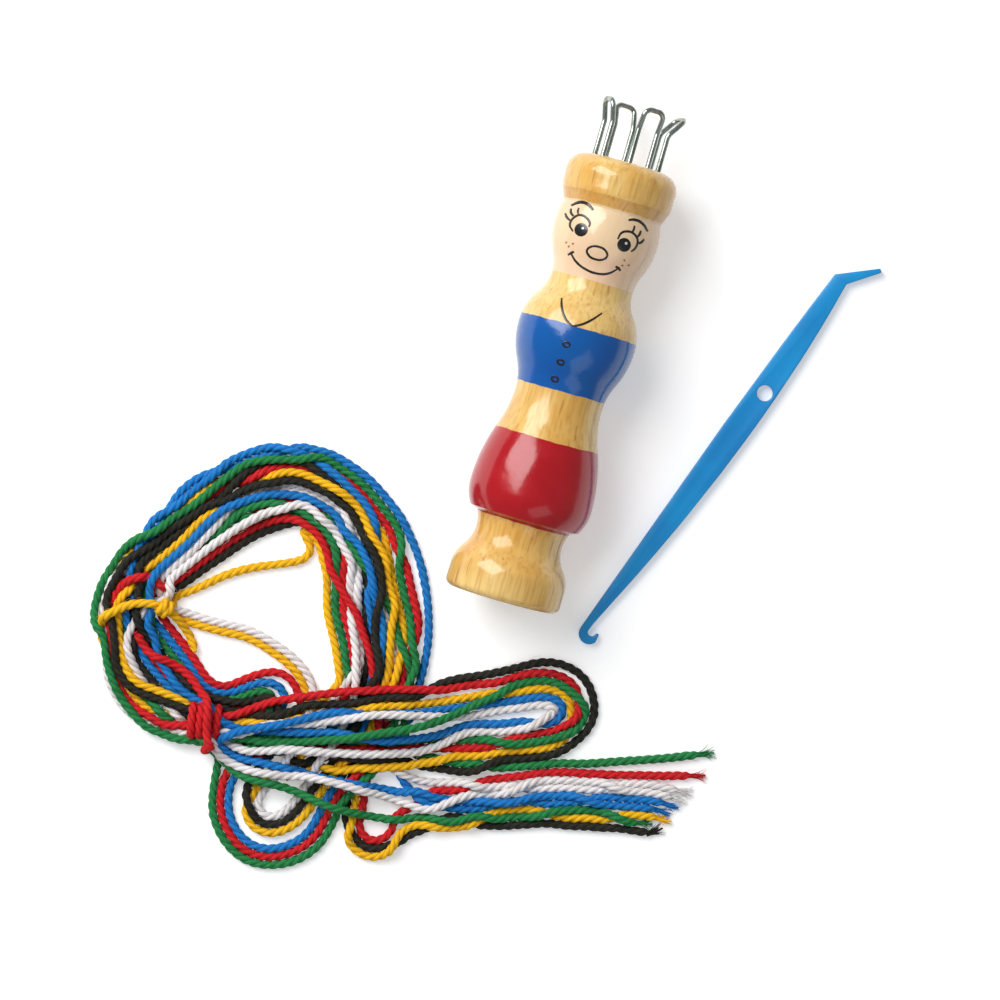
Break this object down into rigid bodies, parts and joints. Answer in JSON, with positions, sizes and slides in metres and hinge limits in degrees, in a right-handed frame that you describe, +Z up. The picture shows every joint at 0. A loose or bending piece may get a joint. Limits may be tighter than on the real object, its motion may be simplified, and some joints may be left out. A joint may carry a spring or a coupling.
{
  "type": "knitting doll set",
  "caption": "Turned wooden knitting doll with a bore and bent wire loops on its head, beside a flat hooked stitch tool and a tied hank of coloured yarn.",
  "frame": {"origin": "on the surface that the set lies on, under the middle of the box round the doll and the tool", "axes": "+Y along the doll from foot to head, +Z up from the surface and out of the doll's face, +X towards the tool"},
  "size_m": [0.1544, 0.1903, 0.028],
  "materials": {
    "varnished_wood": "turned light wood, painted in bands of red, blue and skin colour under clear gloss varnish",
    "loop_steel": "drawn wire, bright",
    "tool_plastic": "moulded, satin gloss",
    "black_yarn": "plied acrylic yarn",
    "white_yarn": "plied acrylic yarn",
    "red_yarn": "plied acrylic yarn",
    "blue_yarn": "plied acrylic yarn",
    "green_yarn": "plied acrylic yarn",
    "yellow_yarn": "plied acrylic yarn"
  },
  "bodies": {
    "doll": {"doll_body": "varnished_wood", "wire_loop_left": "loop_steel", "wire_loop_back": "loop_steel", "wire_loop_front": "loop_steel", "wire_loop_right": "loop_steel"},
    "tool": {"stitch_tool": "tool_plastic"},
    "yarn": {"yarn_black": "black_yarn", "yarn_white": "white_yarn", "yarn_red": "red_yarn", "yarn_blue": "blue_yarn", "yarn_green": "green_yarn", "yarn_yellow": "yellow_yarn", "yellow_tie": "yellow_yarn", "red_tie": "red_yarn"}
  },
  "joints": [
    {"name": "tool_lift", "type": "slide", "parent": "doll", "child": "tool", "axis": [0, 0, 1], "range_m": [0, 0.1]},
    {"name": "yarn_lift", "type": "slide", "parent": "doll", "child": "yarn", "axis": [0, 0, 1], "range_m": [0, 0.1]}
  ]
}
